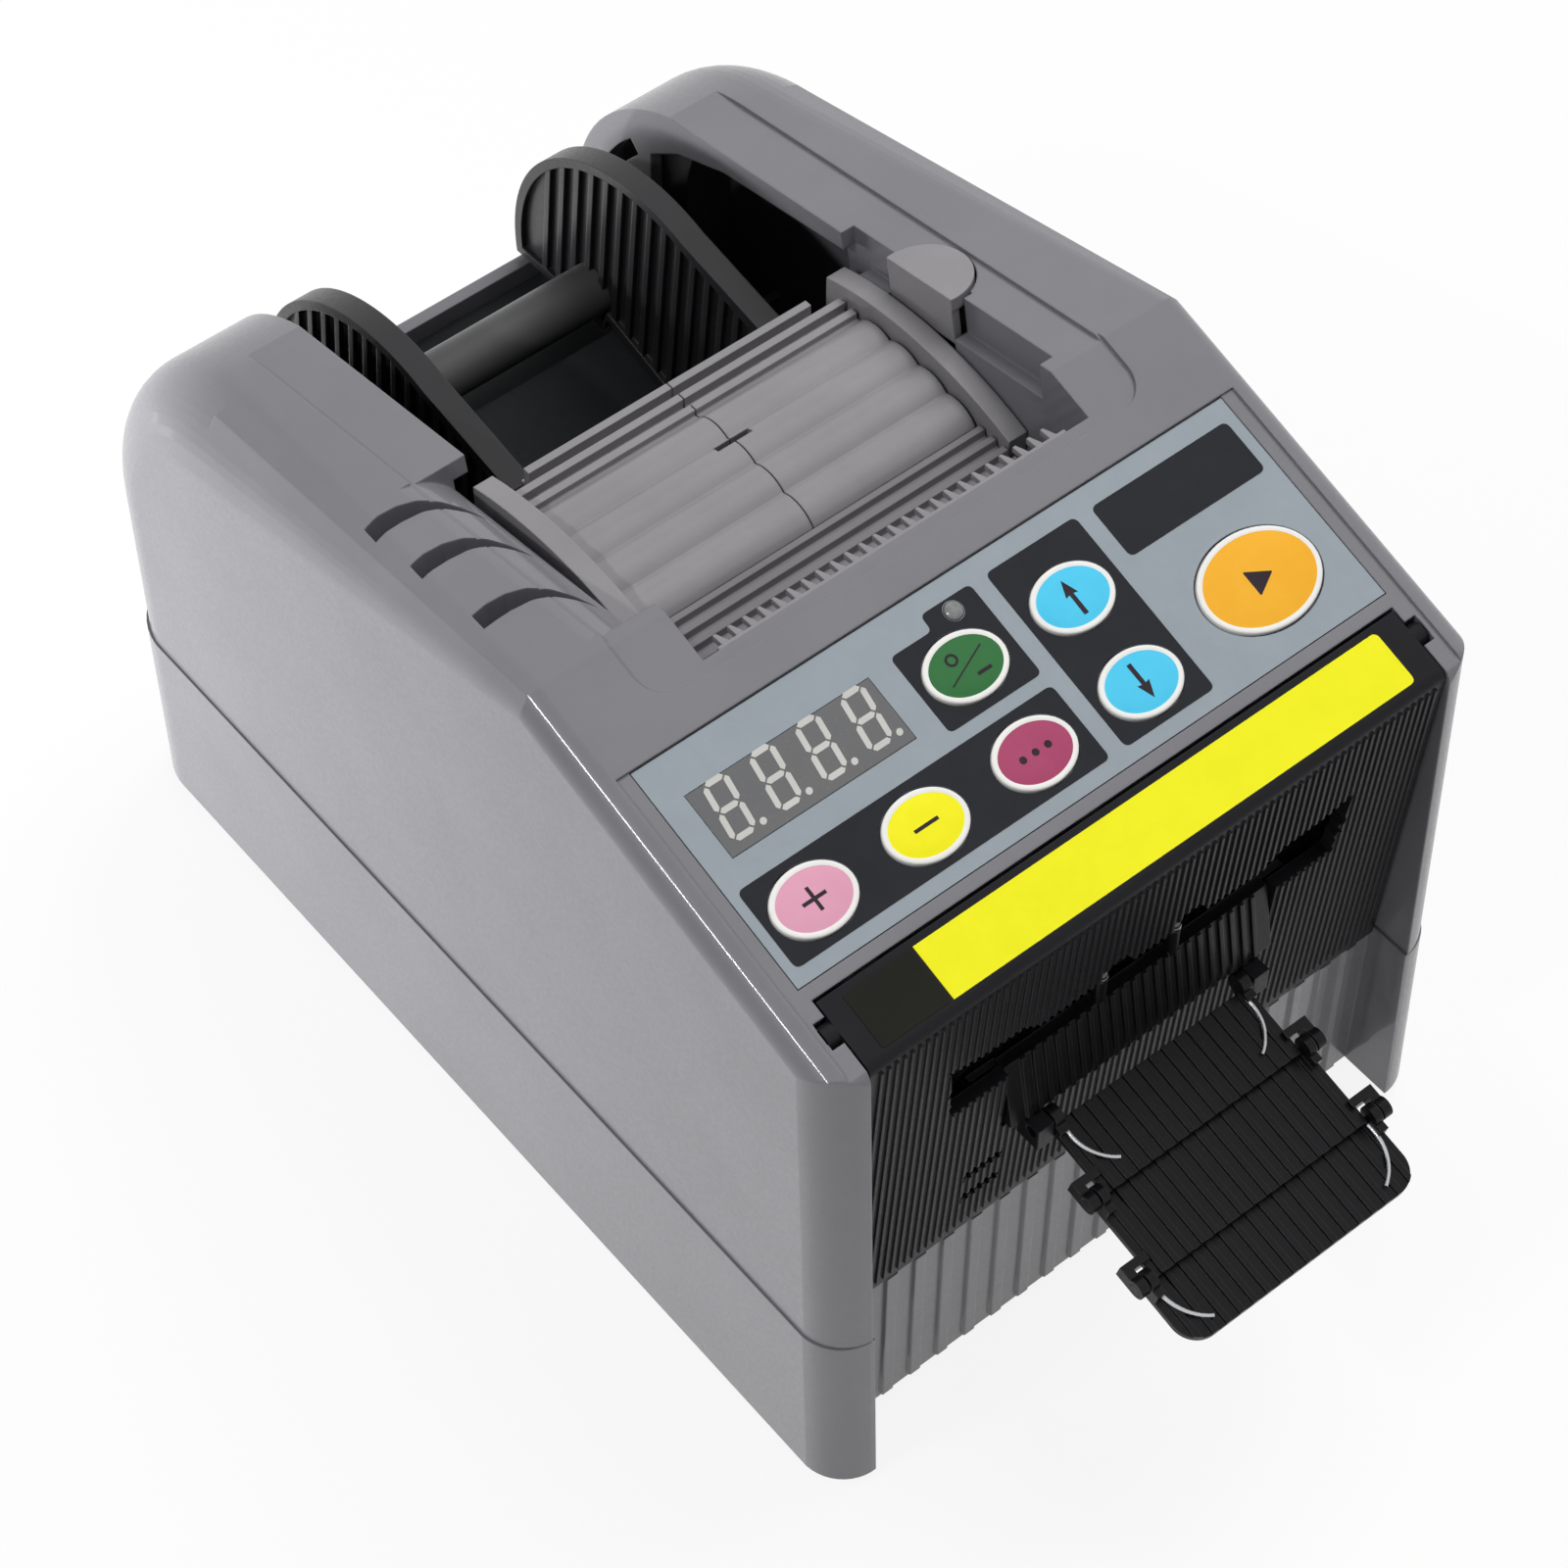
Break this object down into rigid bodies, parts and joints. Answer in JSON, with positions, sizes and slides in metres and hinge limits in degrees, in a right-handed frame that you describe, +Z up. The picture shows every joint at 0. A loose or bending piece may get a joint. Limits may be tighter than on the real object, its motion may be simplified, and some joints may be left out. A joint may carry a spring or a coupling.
{
  "type": "electric tape dispenser",
  "caption": "Desktop automatic tape dispenser: grey case with a reel well and sliding reel guides, fluted hood, sloping key panel, hinged ribbed front cover and folding outlet tray.",
  "frame": {"origin": "middle of the whole part's box seen from above, on the table under the feet", "axes": "+X to the machine's right as its user sees the key panel, +Y from the outlet to the reel well at the rear, +Z up"},
  "size_m": [0.14, 0.249, 0.1447],
  "materials": {
    "case_grey": "satin moulded",
    "inner_grey": "satin moulded",
    "black_plastic": "satin moulded",
    "overlay": "printed film",
    "lens_grey": "tinted window",
    "lamp_clear": "clear",
    "board_green": "lacquered",
    "steel": "brushed",
    "motor_steel": "plated",
    "rubber": "matt",
    "gear_white": "moulded",
    "brass": "turned",
    "strip_yellow": "printed film",
    "key_pink": "printed film",
    "key_yellow": "printed film",
    "key_magenta": "printed film",
    "key_green": "printed film",
    "key_blue": "printed film",
    "key_orange": "printed film"
  },
  "bodies": {
    "case": {"base_case": "case_grey", "upper_case": "case_grey", "panel_overlay": "overlay", "display_lens": "lens_grey", "display_module": "black_plastic", "status_lamp": "lamp_clear", "control_board": "board_green", "key_switches": "black_plastic", "well_liner": "inner_grey", "ramp": "inner_grey", "comb_guard": "inner_grey", "flange_left": "inner_grey", "flange_right": "inner_grey", "hood_rod": "steel", "side_plate_left": "steel", "side_plate_right": "steel", "motor_shelf": "steel", "blade_bar": "black_plastic", "fixed_blade": "steel", "feed_motor": "motor_steel", "cutter_motor": "motor_steel", "power_board": "board_green", "dc_inlet": "black_plastic", "switch_body": "black_plastic", "tape_sensor": "black_plastic", "case_screws": "steel", "foot_front_left": "rubber", "foot_front_right": "rubber", "foot_rear_left": "rubber", "foot_rear_right": "rubber"},
    "feed_roll": {"feed_shaft": "steel", "feed_tyres": "rubber", "feed_gear": "gear_white"},
    "pinion": {"motor_pinion": "brass"},
    "pinch": {"pinch_roller": "rubber"},
    "cutter": {"blade_carrier": "black_plastic", "moving_blade": "steel"},
    "screw": {"cutter_screw": "steel"},
    "cover": {"front_cover": "black_plastic", "cover_strip": "strip_yellow", "outlet_guide": "black_plastic"},
    "tray_a": {"tray_inner": "black_plastic"},
    "tray_b": {"tray_middle": "black_plastic"},
    "tray_c": {"tray_outer": "black_plastic"},
    "hood": {"hood_left": "inner_grey", "hood_right": "inner_grey"},
    "tab": {"release_tab": "case_grey"},
    "plus": {"key_plus": "key_pink"},
    "minus": {"key_minus": "key_yellow"},
    "select": {"key_select": "key_magenta"},
    "mode": {"key_mode": "key_green"},
    "up": {"key_up": "key_blue"},
    "down": {"key_down": "key_blue"},
    "start": {"key_start": "key_orange"},
    "roller": {"reel_roller": "inner_grey"},
    "guide_l": {"reel_guide_left": "black_plastic"},
    "guide_r": {"reel_guide_right": "black_plastic"},
    "rocker": {"rocker": "black_plastic"}
  },
  "joints": [
    {"name": "cover_hinge", "type": "hinge", "parent": "case", "child": "cover", "pos_m": [0, -0.07415, 0.12155], "axis": [-1, 0, 0], "range_deg": [0, 50]},
    {"name": "tray_root_hinge", "type": "hinge", "parent": "cover", "child": "tray_a", "pos_m": [0, -0.08333, 0.07021], "axis": [-1, 0, 0], "range_deg": [0, 30]},
    {"name": "tray_mid_hinge", "type": "hinge", "parent": "tray_a", "child": "tray_b", "pos_m": [0, -0.09767, 0.06571], "axis": [-1, 0, 0], "range_deg": [0, 35]},
    {"name": "tray_tip_hinge", "type": "hinge", "parent": "tray_b", "child": "tray_c", "pos_m": [0, -0.11227, 0.06012], "axis": [-1, 0, 0], "range_deg": [0, 40]},
    {"name": "hood_hinge", "type": "hinge", "parent": "case", "child": "hood", "pos_m": [0, 0.04046, 0.1198], "axis": [-1, 0, 0], "range_deg": [0, 70]},
    {"name": "tab_press", "type": "slide", "parent": "case", "child": "tab", "axis": [0, -0.1805, -0.9836], "range_m": [0, 0.0025], "stiffness_N_per_m": 300, "springref_m": -0.001},
    {"name": "feed_spin", "type": "hinge", "parent": "case", "child": "feed_roll", "pos_m": [0, -0.03554, 0.084], "axis": [1, 0, 0], "continuous": true},
    {"name": "pinion_spin", "type": "hinge", "parent": "case", "child": "pinion", "pos_m": [0, -0.04754, 0.06304], "axis": [1, 0, 0], "continuous": true},
    {"name": "pinch_spin", "type": "hinge", "parent": "case", "child": "pinch", "pos_m": [0, -0.03554, 0.0993], "axis": [1, 0, 0], "continuous": true},
    {"name": "screw_turn", "type": "hinge", "parent": "case", "child": "screw", "pos_m": [0, -0.06654, 0.09], "axis": [0, 0, 1], "range_deg": [0, 270]},
    {"name": "cutter_slide", "type": "slide", "parent": "case", "child": "cutter", "axis": [0, 0, -1], "range_m": [0, 0.009]},
    {"name": "roller_spin", "type": "hinge", "parent": "case", "child": "roller", "pos_m": [0, 0.10146, 0.085], "axis": [1, 0, 0], "continuous": true},
    {"name": "guide_left_slide", "type": "slide", "parent": "case", "child": "guide_l", "axis": [1, 0, 0], "range_m": [-0.003, 0.015]},
    {"name": "guide_right_slide", "type": "slide", "parent": "case", "child": "guide_r", "axis": [-1, 0, 0], "range_m": [-0.003, 0.015]},
    {"name": "rocker_tip", "type": "hinge", "parent": "case", "child": "rocker", "pos_m": [0.037, 0.11996, 0.024], "axis": [1, 0, 0], "range_deg": [0, 18]},
    {"name": "key_plus_press", "type": "slide", "parent": "case", "child": "plus", "axis": [0, 0.2924, -0.9563], "range_m": [0, 0.0005], "stiffness_N_per_m": 600, "springref_m": -0.0005},
    {"name": "key_minus_press", "type": "slide", "parent": "case", "child": "minus", "axis": [0, 0.2924, -0.9563], "range_m": [0, 0.0005], "stiffness_N_per_m": 600, "springref_m": -0.0005},
    {"name": "key_select_press", "type": "slide", "parent": "case", "child": "select", "axis": [0, 0.2924, -0.9563], "range_m": [0, 0.0005], "stiffness_N_per_m": 600, "springref_m": -0.0005},
    {"name": "key_mode_press", "type": "slide", "parent": "case", "child": "mode", "axis": [0, 0.2924, -0.9563], "range_m": [0, 0.0005], "stiffness_N_per_m": 600, "springref_m": -0.0005},
    {"name": "key_up_press", "type": "slide", "parent": "case", "child": "up", "axis": [0, 0.2924, -0.9563], "range_m": [0, 0.0005], "stiffness_N_per_m": 600, "springref_m": -0.0005},
    {"name": "key_down_press", "type": "slide", "parent": "case", "child": "down", "axis": [0, 0.2924, -0.9563], "range_m": [0, 0.0005], "stiffness_N_per_m": 600, "springref_m": -0.0005},
    {"name": "key_start_press", "type": "slide", "parent": "case", "child": "start", "axis": [0, 0.2924, -0.9563], "range_m": [0, 0.0005], "stiffness_N_per_m": 600, "springref_m": -0.0005}
  ],
  "couplings": [
    {"joint": "pinion_spin", "follows": "feed_spin", "ratio": -3},
    {"joint": "pinch_spin", "follows": "feed_spin", "ratio": -1.5},
    {"joint": "screw_turn", "follows": "cutter_slide", "rad_per_m": 523.59}
  ]
}
